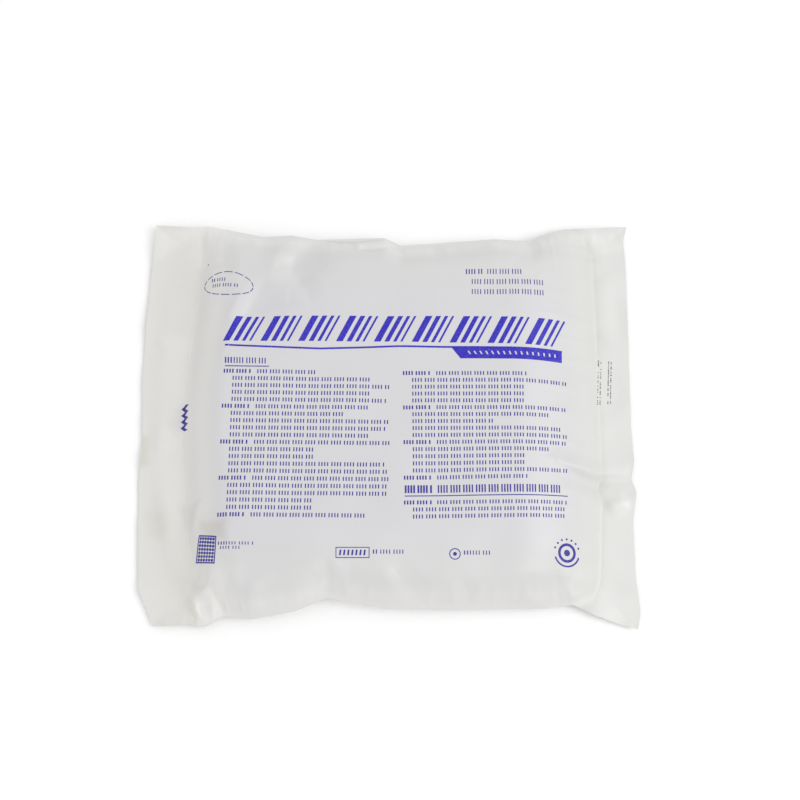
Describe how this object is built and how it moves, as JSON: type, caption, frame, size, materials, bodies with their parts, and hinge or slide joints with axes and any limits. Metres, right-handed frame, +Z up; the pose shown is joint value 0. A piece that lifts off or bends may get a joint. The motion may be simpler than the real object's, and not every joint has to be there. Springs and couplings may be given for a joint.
{
  "type": "sealed surgical gown pouch",
  "caption": "A sealed pouch of white film lying flat, swollen over the folded surgical gown inside, with side creases and flat sealed ends",
  "frame": {"origin": "on the surface that the pouch lies on, under the middle of its outline", "axes": "+X from the left sealed end to the right one, +Y from the near crease to the far one, +Z up"},
  "size_m": [0.3504, 0.2912, 0.0327],
  "materials": {
    "film": "milky satin film",
    "gown_fabric": "matte bonded non-woven"
  },
  "bodies": {
    "root": {"front_film": "film", "back_film": "film", "folded_gown": "gown_fabric"}
  },
  "joints": []
}
